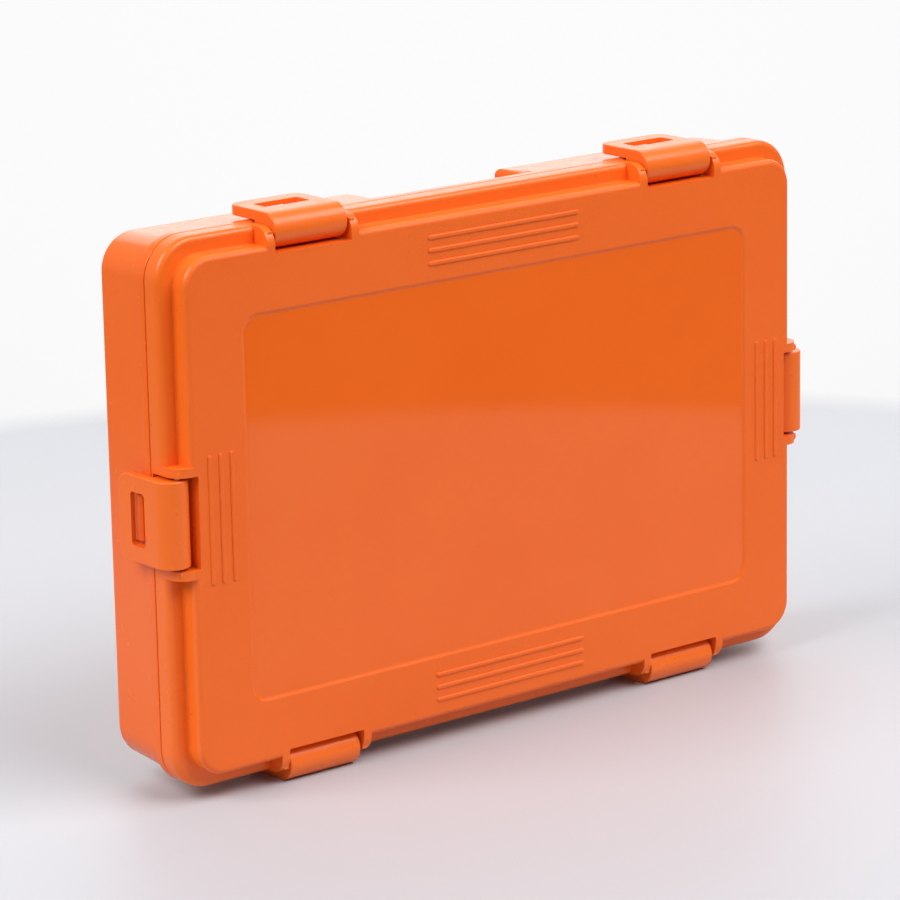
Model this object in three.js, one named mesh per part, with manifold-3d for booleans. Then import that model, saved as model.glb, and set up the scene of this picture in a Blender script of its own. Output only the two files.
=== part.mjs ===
// A flat watertight first aid case: a body and a lift-off lid held by six hinged latches, with its kit inside.
// Millimetres. X runs across the case, +Y from the lid to the back, +Z up. The case stands on its two bottom
// latches, and the origin lies on that surface, under the middle of the case.
import * as THREE from 'three';
import { mergeVertices } from 'three/addons/utils/BufferGeometryUtils.js';
import Module from 'manifold-3d';

const wasm = await Module();
wasm.setup();

// Outlines are rounded rectangles given by half width x, half height z and corner radius r.
const RIM = { x: 140, z: 94.05, r: 14.5 }; // outer edge of the lid flange and the body band
const LEDGE = 5.9; // from the flange edge in to the raised lid plate
const PLATE = { x: RIM.x - LEDGE, z: RIM.z - LEDGE, r: 10 };
const PANEL = { x: 111.45, z: 65.85, r: 6 }; // shallow recessed panel, front and back
const PANEL_DEPTH = 0.6;

// Depths along Y, from the front face of the lid plate.
const Y_LEDGE = 7.3;
const Y_LID_END = 14.55;
const Y_BODY_START = 14.85;
const Y_BAND_END = 18.5;
const Y_BACK = 44.9;

const LID_WALL = 2.4;
const PLATE_FILLET = 2.0;
const FLANGE_FILLET = 2.2;
const BODY_STEP = 1.8; // the body wall stands this far in from the band
const BODY_DRAFT = 1.35; // and draws in this much more by the back
const BODY_FLOOR = 2.3;
const BODY_FILLET = 2.0;
const MOUTH_INSET = 5.15; // from the band edge in to the inside of the body wall
const INNER_DRAFT = 0.6;

// The gasket lies in a groove in the body band, and the lid flange closes on it.
const GROOVE = { outer: 1.1, inner: 3.7, depth: 2.3 };
const GASKET_SIZE = 2.0;
const GAP = 0.3; // between pieces that touch

// Decorative ribs on the lid plate, in groups of three.
const RIB = { width: 1.6, height: 0.5, pitch: 4.5 };
const RIBS_TOP = { centre: 77.1, half: 33.5 };
const RIBS_SIDE = { centre: 122.2, half: 22.2 };

// Latch frame: w along the hinge pin, y as above, h outward from the flange edge.
const LATCH_HALF_WIDTH = 14.9;
const NOTCH = { half: 15.9, floor: -8.75, back: 13.5, wall: 2.0 };
const LUG = { thickness: 3.1, radius: 6.0 };
const PIVOT = { y: 4.6, h: -3.4 }; // the hinge pin, off the centre of the latch's barrel
const BARREL = { y: 7.0, h: -2.1, radius: 6.1 };
const LATCH_OUTER = BARREL.h + BARREL.radius;
const LATCH_INNER = 0.45;
const LATCH_END = 28.3;
const LATCH_CORNER = 5.0;
const LATCH_FILLET = 0.9;
const PIN_RADIUS = 1.0;
const PIN_HOLE_RADIUS = 1.3;
const PIN_SEAT = 2.3; // depth of the blind pin hole in one lug
const WINDOW = { half: 9.2, y0: 13.4, y1: 21.2, r: 1.3 };
const CATCH = { half: 7.8, y0: 18.2, y1: 20.3, top: 2.0 };
const SCOOP = { half: 8.5, top: 2.3 }; // finger relief under the latch's free end
const LATCH_X = 81.5; // centre of the latches on the long sides

// Finger recess in the top wall of the body.
const GRIP = { half: 33, floor: 84, round: 3, wall: 2.2 };

// Inner tray and its compartments.
const TRAY = { x: 133.9, z: 87.8, r: 9 };
const TRAY_FRONT = 17;
const TRAY_BACK = Y_BACK - BODY_FLOOR - GAP;
const TRAY_WALL = 1.0;
const TRAY_FLOOR = 0.8;

const LATCHES = [
  { name: 'top_left', x: -LATCH_X, z: RIM.z, turn: 0, open: 1 },
  { name: 'top_right', x: LATCH_X, z: RIM.z, turn: 0, open: 1 },
  { name: 'bottom_left', x: -LATCH_X, z: -RIM.z, turn: Math.PI, open: -1 },
  { name: 'bottom_right', x: LATCH_X, z: -RIM.z, turn: Math.PI, open: -1 },
  { name: 'side_left', x: -RIM.x, z: 0, turn: -Math.PI / 2, open: -1 },
  { name: 'side_right', x: RIM.x, z: 0, turn: Math.PI / 2, open: 1 },
];

// Materials.
const material = (color, roughness, metalness = 0) => (
  new THREE.MeshStandardMaterial({ color, roughness, metalness })
);
const shellPlastic = material(0xf0641e, 0.35);
const latchPlastic = material(0xf26a22, 0.4);
const steel = material(0xc8cacc, 0.25, 1);
const rubber = material(0x3a3c3e, 0.8);
const trayPlastic = material(0xe4e6e6, 0.5);
const gauze = material(0xf2efe6, 0.95);
const crepe = material(0xd9bf9c, 0.95);
const wrapper = material(0xf4f6f7, 0.6);
const foil = material(0xd8b25a, 0.3, 0.9);
const card = material(0xdfe8ee, 0.8);
const gloveFilm = material(0x6f9fc8, 0.5);

// --- Shapes and solids -------------------------------------------------------------------------

function inset(outline, by) {
  return { x: outline.x - by, z: outline.z - by, r: outline.r - by };
}

function outset(outline, by) {
  return inset(outline, -by);
}

// A rectangle between two corners with rounded corners, as a THREE.Shape.
function roundedRect(x0, y0, x1, y1, r) {
  const shape = new THREE.Shape();
  shape.moveTo(x0 + r, y0);
  shape.lineTo(x1 - r, y0);
  shape.absarc(x1 - r, y0 + r, r, -Math.PI / 2, 0);
  shape.lineTo(x1, y1 - r);
  shape.absarc(x1 - r, y1 - r, r, 0, Math.PI / 2);
  shape.lineTo(x0 + r, y1);
  shape.absarc(x0 + r, y1 - r, r, Math.PI / 2, Math.PI);
  shape.lineTo(x0, y0 + r);
  shape.absarc(x0 + r, y0 + r, r, Math.PI, Math.PI * 1.5);
  return shape;
}

function polygon(points) {
  return new THREE.Shape(points.map(([x, y]) => new THREE.Vector2(x, y)));
}

function solid(geometry) {
  geometry.deleteAttribute('normal');
  geometry.deleteAttribute('uv');
  const merged = mergeVertices(geometry, 1e-4);
  return new wasm.Manifold(new wasm.Mesh({
    numProp: 3,
    vertProperties: merged.attributes.position.array,
    triVerts: new Uint32Array(merged.index.array),
  }));
}

// An extrusion of a shape over a given length from 0, with both end edges rounded by fillet.
function extrude(shape, length, fillet = 0, curveSegments = 5, bevelSegments = 2) {
  const geometry = new THREE.ExtrudeGeometry(shape, {
    depth: length - 2 * fillet,
    curveSegments,
    bevelEnabled: fillet > 0,
    bevelThickness: fillet,
    bevelSize: fillet,
    bevelOffset: -fillet,
    bevelSegments,
  });
  return geometry.translate(0, 0, fillet);
}

// A slab of a shape drawn in the X-Z plane, filling depth y0 to y1.
function slab(shape, y0, y1, fillet = 0, curveSegments = 5, bevelSegments = 2) {
  const geometry = extrude(shape, y1 - y0, fillet, curveSegments, bevelSegments);
  return geometry.rotateX(Math.PI / 2).translate(0, y1, 0);
}

function outlineSlab(outline, y0, y1, fillet = 0) {
  const { x, z, r } = outline;
  return slab(roundedRect(-x, -z, x, z, r), y0, y1, fillet);
}

// Draws the sides of a slab in by `amount` for each millimetre behind yStart.
function drafted(geometry, yStart, amount) {
  const position = geometry.attributes.position;
  for (let i = 0; i < position.count; i += 1) {
    const shift = (position.getY(i) - yStart) * amount;
    position.setX(i, position.getX(i) - Math.sign(position.getX(i)) * shift);
    position.setZ(i, position.getZ(i) - Math.sign(position.getZ(i)) * shift);
  }
  return geometry;
}

function box(x0, x1, y0, y1, z0, z1) {
  const geometry = new THREE.BoxGeometry(x1 - x0, y1 - y0, z1 - z0);
  return solid(geometry.translate((x0 + x1) / 2, (y0 + y1) / 2, (z0 + z1) / 2));
}

// A cylinder along X, Y or Z through a centre.
function rod(axis, radius, length, x, y, z, segments = 20) {
  const geometry = new THREE.CylinderGeometry(radius, radius, length, segments);
  if (axis === 'x') {
    geometry.rotateZ(Math.PI / 2);
  } else if (axis === 'z') {
    geometry.rotateX(Math.PI / 2);
  }
  return solid(geometry.translate(x, y, z));
}

function meshOf(name, body, surface) {
  const { vertProperties, triVerts } = body.getMesh();
  const geometry = new THREE.BufferGeometry();
  geometry.setAttribute('position', new THREE.BufferAttribute(new Float32Array(vertProperties), 3));
  geometry.setIndex(new THREE.BufferAttribute(new Uint32Array(triVerts), 1));
  geometry.computeVertexNormals();
  const mesh = new THREE.Mesh(geometry, surface);
  mesh.name = name;
  return mesh;
}

// --- Features in the latch frame ---------------------------------------------------------------

// A side profile drawn in (y, h) and swept along w over a width, centred on w = centre.
function latchSweep(shape, width, centre, fillet = 0, curveSegments = 5) {
  const geometry = extrude(shape, width, fillet, curveSegments, 1);
  // (y, h, sweep) becomes (w, y, h)
  const toLatch = new THREE.Matrix4().set(
    0, 0, 1, centre - width / 2,
    1, 0, 0, 0,
    0, 1, 0, 0,
    0, 0, 0, 1,
  );
  return geometry.applyMatrix4(toLatch);
}

// A solid in the latch frame of one latch, moved into the case frame.
function placed(geometryOrSolid, latch) {
  const matrix = new THREE.Matrix4().makeRotationY(latch.turn).setPosition(latch.x, 0, latch.z);
  return geometryOrSolid.transform(matrix.toArray());
}

function notchCut() {
  return box(-NOTCH.half, NOTCH.half, -2, NOTCH.back, NOTCH.floor, 8);
}

function notchPocket() {
  const half = NOTCH.half + NOTCH.wall;
  return box(-half, half, 0, Y_LID_END + 2, NOTCH.floor - NOTCH.wall, 2);
}

// The two lugs beside a notch, which carry the hinge pin.
function lugs() {
  const base = NOTCH.floor - 0.6;
  const back = Y_LEDGE + FLANGE_FILLET;
  const profile = new THREE.Shape();
  profile.moveTo(0, base);
  profile.lineTo(back, base);
  profile.lineTo(back, 0);
  profile.lineTo(LUG.radius, 0);
  profile.absarc(LUG.radius, -LUG.radius, LUG.radius, Math.PI / 2, Math.PI);
  profile.lineTo(0, base);
  const at = NOTCH.half + LUG.thickness / 2;
  const left = solid(latchSweep(profile, LUG.thickness, -at));
  return left.add(solid(latchSweep(profile, LUG.thickness, at)));
}

// The pin hole is blind in one lug and open through the other, so that the pin can be pressed in.
function pinHole(open) {
  const blind = NOTCH.half + PIN_SEAT;
  const through = NOTCH.half + LUG.thickness + 1;
  return rod('x', PIN_HOLE_RADIUS, blind + through, open * (through - blind) / 2, PIVOT.y, PIVOT.h, 12);
}

function hingePin(open) {
  const blind = NOTCH.half + PIN_SEAT - GAP;
  const through = NOTCH.half + LUG.thickness - 0.4;
  return rod('x', PIN_RADIUS, blind + through, open * (through - blind) / 2, PIVOT.y, PIVOT.h, 12);
}

function latchCatch() {
  const base = -BODY_STEP - 2.5;
  const profile = polygon([
    [CATCH.y0, base],
    [CATCH.y1, base],
    [CATCH.y1, CATCH.top],
    [CATCH.y0 + 0.8, CATCH.top],
    [CATCH.y0, CATCH.top - 0.8],
  ]);
  return solid(latchSweep(profile, 2 * CATCH.half, 0));
}

function latchBody() {
  const meet = Math.asin((LATCH_INNER - BARREL.h) / BARREL.radius);
  const side = new THREE.Shape();
  side.moveTo(LATCH_END, LATCH_OUTER);
  side.lineTo(BARREL.y, LATCH_OUTER);
  side.absarc(BARREL.y, BARREL.h, BARREL.radius, Math.PI / 2, 2 * Math.PI + meet, false);
  side.lineTo(LATCH_END, LATCH_INNER);
  const bar = solid(latchSweep(side, 2 * LATCH_HALF_WIDTH, 0, LATCH_FILLET, 14));

  const half = LATCH_HALF_WIDTH + 0.01;
  const plan = roundedRect(-half, -12, half, LATCH_END, LATCH_CORNER);
  const planSolid = solid(extrude(plan, 20, LATCH_FILLET, 4, 1).translate(0, 0, LATCH_OUTER - 20));

  const { half: reach, y0, y1, r } = WINDOW;
  const window = solid(extrude(roundedRect(-reach, y0, reach, y1, r), 20, 0, 2).translate(0, 0, -8));
  const scoop = box(-SCOOP.half, SCOOP.half, y1 - 0.5, LATCH_END + 2, -2, SCOOP.top);
  const bore = rod('x', PIN_HOLE_RADIUS, 40, 0, PIVOT.y, PIVOT.h, 12);
  return bar.intersect(planSolid).subtract(window).subtract(scoop).subtract(bore);
}

// --- Lid ---------------------------------------------------------------------------------------

function rib(alongX, centreX, centreZ, half) {
  const x = alongX ? half : RIB.width / 2;
  const z = alongX ? RIB.width / 2 : half;
  const shape = roundedRect(centreX - x, centreZ - z, centreX + x, centreZ + z, 0.6);
  return solid(slab(shape, -RIB.height, RIB.height, 0, 1));
}

function lidRibs() {
  const ribs = [];
  for (const side of [-1, 1]) {
    for (const step of [-1, 0, 1]) {
      ribs.push(rib(true, 0, side * RIBS_TOP.centre + step * RIB.pitch, RIBS_TOP.half));
      ribs.push(rib(false, side * RIBS_SIDE.centre + step * RIB.pitch, 0, RIBS_SIDE.half));
    }
  }
  return ribs;
}

// A shallow panel recess with sloped edges, open to the front (or to the back when turned).
function panelRecess() {
  const { x, z, r } = outset(PANEL, PANEL_DEPTH);
  return solid(slab(roundedRect(-x, -z, x, z, r), -PANEL_DEPTH, PANEL_DEPTH, PANEL_DEPTH, 4, 1));
}

function lidShell() {
  const plate = solid(outlineSlab(PLATE, 0, Y_LEDGE + 4, PLATE_FILLET));
  const flange = solid(outlineSlab(RIM, Y_LEDGE, Y_LID_END + 6, FLANGE_FILLET));
  const ahead = box(-200, 200, -10, Y_LID_END, -200, 200);
  let lid = plate.add(flange).intersect(ahead);

  let cavity = solid(outlineSlab(inset(PLATE, LID_WALL), LID_WALL, Y_LID_END + 5));
  for (const latch of LATCHES) {
    cavity = cavity.subtract(placed(notchPocket(), latch));
  }
  lid = lid.subtract(cavity).subtract(panelRecess());
  for (const latch of LATCHES) {
    lid = lid.subtract(placed(notchCut(), latch)).add(placed(lugs(), latch));
    lid = lid.subtract(placed(pinHole(latch.open), latch));
  }
  for (const ridge of lidRibs()) {
    lid = lid.add(ridge);
  }
  return lid;
}

// --- Body --------------------------------------------------------------------------------------

// The outline of the finger recess across the top wall, with rounded shoulders and a rounded floor.
function gripShape(half, floor, shoulder, top) {
  const r = GRIP.round;
  const shape = new THREE.Shape();
  shape.moveTo(-half + r, floor);
  shape.lineTo(half - r, floor);
  shape.absarc(half - r, floor + r, r, -Math.PI / 2, 0);
  shape.lineTo(half, shoulder - r);
  shape.absarc(half + r, shoulder - r, r, Math.PI, Math.PI / 2, true);
  shape.lineTo(half + r, top);
  shape.lineTo(-half - r, top);
  shape.lineTo(-half - r, shoulder);
  shape.absarc(-half - r, shoulder - r, r, Math.PI / 2, 0, true);
  shape.lineTo(-half, floor + r);
  shape.absarc(-half + r, floor + r, r, Math.PI, Math.PI * 1.5);
  return shape;
}

function bodyShell() {
  const wallLength = Y_BACK - Y_BAND_END;
  const outer = outlineSlab(inset(RIM, BODY_STEP), Y_BODY_START - 6, Y_BACK, BODY_FILLET);
  const wall = solid(drafted(outer, Y_BAND_END, BODY_DRAFT / wallLength));
  const band = solid(outlineSlab(RIM, Y_BODY_START, Y_BAND_END, 0.5));
  const behind = box(-200, 200, Y_BODY_START, 60, -200, 200);
  let body = wall.intersect(behind).add(band);

  const mouth = outlineSlab(inset(RIM, MOUTH_INSET), Y_BODY_START - 5, Y_BACK - BODY_FLOOR);
  let cavity = solid(drafted(mouth, Y_BODY_START, INNER_DRAFT / wallLength));
  const hump = box(-GRIP.half - GRIP.wall, GRIP.half + GRIP.wall, Y_BAND_END - GRIP.wall, 60,
    GRIP.floor - GRIP.wall, 120);
  cavity = cavity.subtract(hump);
  body = body.subtract(cavity);

  const shoulder = RIM.z - BODY_STEP - BODY_DRAFT / 2;
  const grip = solid(slab(gripShape(GRIP.half, GRIP.floor, shoulder, 110), Y_BAND_END, 60, 0, 3));
  body = body.subtract(grip);

  const grooveOuter = solid(outlineSlab(inset(RIM, GROOVE.outer), 5, Y_BODY_START + GROOVE.depth));
  const grooveInner = solid(outlineSlab(inset(RIM, GROOVE.inner), 4, Y_BODY_START + GROOVE.depth + 1));
  body = body.subtract(grooveOuter.subtract(grooveInner));

  const backPanel = panelRecess().transform(new THREE.Matrix4().makeTranslation(0, Y_BACK, 0).toArray());
  body = body.subtract(backPanel);
  for (const latch of LATCHES) {
    body = body.add(placed(latchCatch(), latch));
  }
  return body;
}

function gasket() {
  const outer = inset(RIM, GROOVE.outer + GAP);
  const y0 = Y_BODY_START;
  const ring = solid(outlineSlab(outer, y0, y0 + GASKET_SIZE));
  return ring.subtract(solid(outlineSlab(inset(outer, GASKET_SIZE), y0 - 1, y0 + GASKET_SIZE + 1)));
}

// --- Kit ---------------------------------------------------------------------------------------

// Compartments of the tray as [x0, x1, z0, z1, floor]. Each is only as deep as its contents need.
const DEEPEST = TRAY_BACK - TRAY_FLOOR;
const BAY = {
  rolls: [-132.9, -64, -86.8, 36.5, DEEPEST],
  spare: [-132.9, -64, 37.5, 86.8, DEEPEST],
  dressings: [-63, 36.5, -12.5, 80.1, 30.5],
  cloth: [-63, 36.5, -86.8, -13.5, 28.5],
  small: [37.5, 132.9, 18, 86.8, 35],
  shears: [37.5, 110.5, -86.8, 17, 21],
  tweezers: [111.5, 132.9, -86.8, 17, 21],
};

// The deepest plane that a compartment's contents reach.
function bayBack(name) {
  return BAY[name][4] - GAP;
}

// A thin formed tray: a front lip, a cup for each compartment and a skirt that stands on the body's floor.
function tray() {
  const inside = solid(outlineSlab(inset(TRAY, TRAY_WALL), 0, 60));
  const skirt = solid(outlineSlab(TRAY, TRAY_FRONT, TRAY_BACK)).subtract(inside);
  let body = solid(outlineSlab(TRAY, TRAY_FRONT, TRAY_FRONT + TRAY_FLOOR)).add(skirt);
  const limit = solid(outlineSlab(TRAY, 0, 60));
  for (const [x0, x1, z0, z1, floor] of Object.values(BAY)) {
    const w = TRAY_WALL;
    const cup = roundedRect(x0 - w, z0 - w, x1 + w, z1 + w, 2.5 + w);
    body = body.add(solid(slab(cup, TRAY_FRONT, floor + TRAY_FLOOR, 0, 2)).intersect(limit));
  }
  for (const [x0, x1, z0, z1, floor] of Object.values(BAY)) {
    body = body.subtract(solid(slab(roundedRect(x0, z0, x1, z1, 2.5), 0, floor, 0, 2)).intersect(inside));
  }
  const clear = GRIP.half + GRIP.wall + 2 * GAP;
  return body.subtract(box(-clear, clear, 0, 60, GRIP.floor - GRIP.wall - 2 * GAP, 120));
}

function padBox(width, height, x, z, y0, y1, r = 4) {
  const shape = roundedRect(x - width / 2, z - height / 2, x + width / 2, z + height / 2, r);
  return solid(slab(shape, y0, y1, 0, 2));
}

function ellipseRing(x, z, rx, rz, band, y0, y1) {
  const shape = new THREE.Shape().absellipse(x, z, rx, rz, 0, Math.PI * 2);
  shape.holes.push(new THREE.Path().absellipse(x, z, rx - band, rz - band, 0, Math.PI * 2));
  return solid(slab(shape, y0, y1, 0.8, 14, 1));
}

const SHEARS = {
  x: 66,
  y: 10.3,
  z: -28,
  plate: 1.8,
  ring: { x: 13.5, z: -38, rx: 11.5, rz: 15.5, band: 3.6, thick: 4.4 },
  screw: { head: 3.2, shaft: 1.2, hole: 1.5 },
};

// One half of the shears in its pivot's frame. side -1 has its ring on the left and lies in front.
function shearsHalf(side) {
  const outline = polygon([
    [-7.5, -25], [-14, -24.5], [-8.5, -14], [-6, -4], [-5.5, 3], [-4, 8], [-1.8, 26], [-0.6, 42],
    [1.2, 41], [4.4, 22], [5.5, 5], [5, -3], [1, -9], [-4, -16],
  ].map(([x, z]) => [-side * x, z]));
  const y0 = side < 0 ? -SHEARS.plate - GAP / 2 : GAP / 2;
  const plate = solid(slab(outline, y0, y0 + SHEARS.plate));
  const { x, z, rx, rz, band, thick } = SHEARS.ring;
  const loop = ellipseRing(side * x, z, rx, rz, band, -thick / 2, thick / 2);
  return plate.add(loop).subtract(rod('y', SHEARS.screw.hole, 20, 0, 0, 0, 16));
}

function shearsScrew() {
  const reach = SHEARS.plate + GAP / 2 + GAP;
  const shaft = rod('y', SHEARS.screw.shaft, 2 * reach + 1, 0, 0, 0, 16);
  const headAt = reach + 0.5;
  const front = rod('y', SHEARS.screw.head, 1, 0, -headAt, 0, 20);
  const back = rod('y', SHEARS.screw.head - 0.8, 1, 0, headAt, 0, 20);
  return shaft.add(front).add(back);
}

// Tweezers: two thin arms that meet at the top and stand apart at the tips.
function tweezers() {
  const shape = polygon([
    [-2.2, 0], [-5.4, -60], [-3.4, -90], [-2.6, -90], [-4.2, -60], [-1, -8],
    [1, -8], [4.2, -60], [2.6, -90], [3.4, -90], [5.4, -60], [2.2, 0],
  ]);
  return solid(slab(shape, -4, 4));
}

function kit() {
  const pieces = [];
  const add = (name, body, surface, x = 0, y = 0, z = 0) => {
    const mesh = meshOf(name, body, surface);
    mesh.position.set(x, y, z);
    pieces.push(mesh);
  };
  add('inner_tray', tray(), trayPlastic);

  const rollRadius = 18;
  const rollLength = 60;
  const rollX = BAY.rolls[1] - 2.5 - rollLength / 2;
  const rollY = bayBack('rolls') - rollRadius;
  const rolls = [['crepe_bandage', crepe], ['gauze_bandage_1', gauze], ['gauze_bandage_2', gauze]];
  rolls.forEach(([name, surface], i) => {
    add(name, rod('x', rollRadius, rollLength, 0, 0, 0, 24), surface, rollX, rollY, -66 + i * 40);
  });

  for (let i = 0; i < 3; i += 1) {
    const y1 = bayBack('dressings') - i * 8.8;
    add(`wound_dressing_${i + 1}`, padBox(90, 84, -13 + i, 33.5 - i, y1 - 8.5, y1), wrapper);
  }
  const clothBack = bayBack('cloth');
  const clothFront = clothBack - 19.8;
  const gloveBack = clothFront - GAP;
  add('triangular_bandage', padBox(90, 64, -13.25, -51, clothFront, clothBack), gauze);
  add('glove_packet', padBox(92, 66, -13.25, -50, gloveBack - 4, gloveBack), gloveFilm);

  // The blanket lies over the plasters and the tape.
  const smallBack = bayBack('small');
  const plasterFront = smallBack - 19.3;
  const blanketBack = plasterFront - GAP;
  add('plaster_box', padBox(44, 60, 61, 51, plasterFront, smallBack, 0.6), card);
  add('rescue_blanket', padBox(90, 62, 85, 51, blanketBack - 11, blanketBack), foil);
  const tape = rod('y', 21, 17, 0, 0, 0, 32).subtract(rod('y', 13, 30, 0, 0, 0, 32));
  add('tape_roll', tape, wrapper, 106, smallBack - 8.5, 56);

  for (let i = 0; i < 3; i += 1) {
    const y1 = bayBack('shears') - i * 2.4;
    add(`wipe_sachet_${i + 1}`, padBox(54, 54, 73 - i * 2, -20 - i * 14, y1 - 2, y1, 1.5), wrapper);
  }
  add('shears_half_left', shearsHalf(-1), steel, SHEARS.x, SHEARS.y, SHEARS.z);
  add('shears_half_right', shearsHalf(1), steel, SHEARS.x, SHEARS.y, SHEARS.z);
  add('shears_screw', shearsScrew(), steel, SHEARS.x, SHEARS.y, SHEARS.z);
  add('tweezers', tweezers(), steel, 121.9, bayBack('tweezers') - 4, 8);
  return pieces;
}

// --- Assembly ----------------------------------------------------------------------------------

const casing = new THREE.Group();
casing.add(meshOf('body_shell', bodyShell(), shellPlastic));
casing.add(meshOf('lid_shell', lidShell(), shellPlastic));
casing.add(meshOf('lid_gasket', gasket(), rubber));
casing.add(...kit());

for (const latch of LATCHES) {
  const hinge = new THREE.Group();
  hinge.position.set(latch.x, 0, latch.z);
  hinge.rotation.y = latch.turn;
  hinge.add(meshOf(`latch_${latch.name}`, latchBody(), latchPlastic));
  hinge.add(meshOf(`hinge_pin_${latch.name}`, hingePin(latch.open), steel));
  casing.add(hinge);
}
casing.position.set(0, -(Y_BACK - RIB.height) / 2, RIM.z + LATCH_OUTER);

const part = new THREE.Group();
part.add(casing);

export default part;
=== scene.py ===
import math

import bmesh
import bpy
from mathutils import Matrix, Quaternion, Vector, noise


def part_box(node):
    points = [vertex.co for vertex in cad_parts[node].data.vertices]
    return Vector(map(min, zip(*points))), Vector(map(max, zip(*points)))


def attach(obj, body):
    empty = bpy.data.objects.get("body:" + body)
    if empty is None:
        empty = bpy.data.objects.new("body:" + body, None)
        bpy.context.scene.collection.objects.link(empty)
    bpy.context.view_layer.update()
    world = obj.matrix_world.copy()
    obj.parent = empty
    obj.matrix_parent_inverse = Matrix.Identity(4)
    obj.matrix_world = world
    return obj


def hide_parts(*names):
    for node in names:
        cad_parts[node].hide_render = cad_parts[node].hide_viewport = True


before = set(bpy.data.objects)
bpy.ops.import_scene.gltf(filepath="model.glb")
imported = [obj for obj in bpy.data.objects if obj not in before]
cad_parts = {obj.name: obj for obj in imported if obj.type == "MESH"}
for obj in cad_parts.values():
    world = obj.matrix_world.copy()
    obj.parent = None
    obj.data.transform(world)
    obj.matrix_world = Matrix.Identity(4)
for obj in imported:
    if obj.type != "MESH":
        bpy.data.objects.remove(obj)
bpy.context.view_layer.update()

MM = 0.001
Y_BACK = 44.9
BODY_LOW, BODY_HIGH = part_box("body_shell")
CASE_ORIGIN = Vector((0, BODY_HIGH[1] - Y_BACK * MM, (BODY_LOW[2] + BODY_HIGH[2]) / 2))

# Rounded rectangles: half width, half height, corner radius.
RIM = (140, 94.05, 14.5)
PLATE = (134.1, 88.15, 10)
PANEL = (111.45, 65.85, 6)
PANEL_DEPTH = 0.6
Y_LEDGE = 7.3
Y_LID_END = 14.55
Y_BODY_START = 14.85
Y_BAND_END = 18.5
LID_WALL = 2.4
BODY_STEP = 1.8
BODY_DRAFT = 1.35
BODY_FLOOR = 2.3
PLATE_FILLET, FLANGE_FILLET, BODY_FILLET = 2.0, 2.2, 2.0
MOUTH_INSET = 5.15
INNER_DRAFT = 0.6
GROOVE_OUTER, GROOVE_INNER, GROOVE_DEPTH = 1.1, 3.7, 2.3
GASKET_INSET, GASKET_RADIUS = 2.4, 1

# Ribs in groups of three, above and below the panel and beside it: how far apart the ribs of a group are,
# how far out its middle rib is, and half a rib's length.
RIB_PITCH = 4.5
LEVEL_RIBS_OUT, LEVEL_RIB_HALF = 77.1, 33.5
UPRIGHT_RIBS_OUT, UPRIGHT_RIB_HALF = 122.2, 22.2

# Latch frame: w along the pin, y as above, h outward from the flange edge.
LATCH_HALF_WIDTH = 14.9
NOTCH_HALF, NOTCH_FLOOR, NOTCH_BACK, NOTCH_WALL = 15.9, -8.75, 13.5, 2
LUG_THICKNESS, LUG_RADIUS = 3.1, 6
PIVOT_Y, PIVOT_H = 4.6, -3.4
BARREL_Y, BARREL_H, BARREL_RADIUS = 7.0, -2.1, 6.1
LATCH_OUTER = BARREL_H + BARREL_RADIUS
LATCH_INNER = 0.45
LATCH_END = 28.3
LATCH_CORNER = 5
WINDOW = (9.2, 13.4, 21.2, 1.3)  # half width, start, end, corner radius
SCOOP_HALF, SCOOP_TOP = 8.5, 2.3
CATCH_HALF, CATCH_START, CATCH_END, CATCH_TOP = 7.8, 18.2, 20.3, 2.0
PIN_RADIUS, PIN_HOLE_RADIUS, PIN_SEAT = 1.0, 1.3, 2.3
LATCH_X = 81.5
LATCHES = {
    "top_left": (-LATCH_X, RIM[1], 0, 1),
    "top_right": (LATCH_X, RIM[1], 0, 1),
    "bottom_left": (-LATCH_X, -RIM[1], math.pi, -1),
    "bottom_right": (LATCH_X, -RIM[1], math.pi, -1),
    "side_left": (-RIM[0], 0, -math.pi / 2, -1),
    "side_right": (RIM[0], 0, math.pi / 2, 1),
}
GRIP_HALF, GRIP_FLOOR, GRIP_ROUND, GRIP_WALL = 33, 84, 3, 2.2

# Shears: the thickness of each half's plate, and half the gap between the two plates.
SHEARS_PLATE, SHEARS_PLAY = 1.8, 0.15
# Centre and half axes of a finger ring's centreline, then half the width and half the depth of its bar.
SHEARS_RING = (13.5, -38, 9.7, 13.7)
RING_BAR_WIDTH, RING_BAR_DEPTH = 1.8, 2.2
# Radii of the screw's hole, shaft, head and rivet, and how far the head and rivet stand from the middle.
SCREW_HOLE, SCREW_SHAFT, SCREW_HEAD, SCREW_RIVET = 1.5, 1.2, 3.2, 2.4
SCREW_REACH = 2.25

CORNER_STEPS = 14  # segments in a rounded rectangle's corner
SHEARS_FIXED, SHEARS_MOVING = "case", "shears_arm"


# --- Meshes ------------------------------------------------------------------------------------


def new_object(name, verts, faces):
    mesh = bpy.data.meshes.new(name)
    mesh.from_pydata([tuple(v) for v in verts], [], faces)
    mesh.update()
    obj = bpy.data.objects.new(name, mesh)
    bpy.context.scene.collection.objects.link(obj)
    return obj


def rounded_loop(x, z, r, steps=CORNER_STEPS):
    """Points of a rounded rectangle about the origin, anticlockwise."""
    r = max(r, 0.01)
    corners = [(x - r, z - r, 0), (r - x, z - r, 90), (r - x, r - z, 180), (x - r, r - z, 270)]
    points = []
    for cx, cz, start in corners:
        for i in range(steps + 1):
            angle = math.radians(start + 90 * i / steps)
            points.append((cx + r * math.cos(angle), cz + r * math.sin(angle)))
    return points


def rect_loop(x0, y0, x1, y1, r, steps=6):
    half_x, half_y = (x1 - x0) / 2, (y1 - y0) / 2
    cx, cy = (x0 + x1) / 2, (y0 + y1) / 2
    return [(cx + px, cy + py) for px, py in rounded_loop(half_x, half_y, r, steps)]


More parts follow.
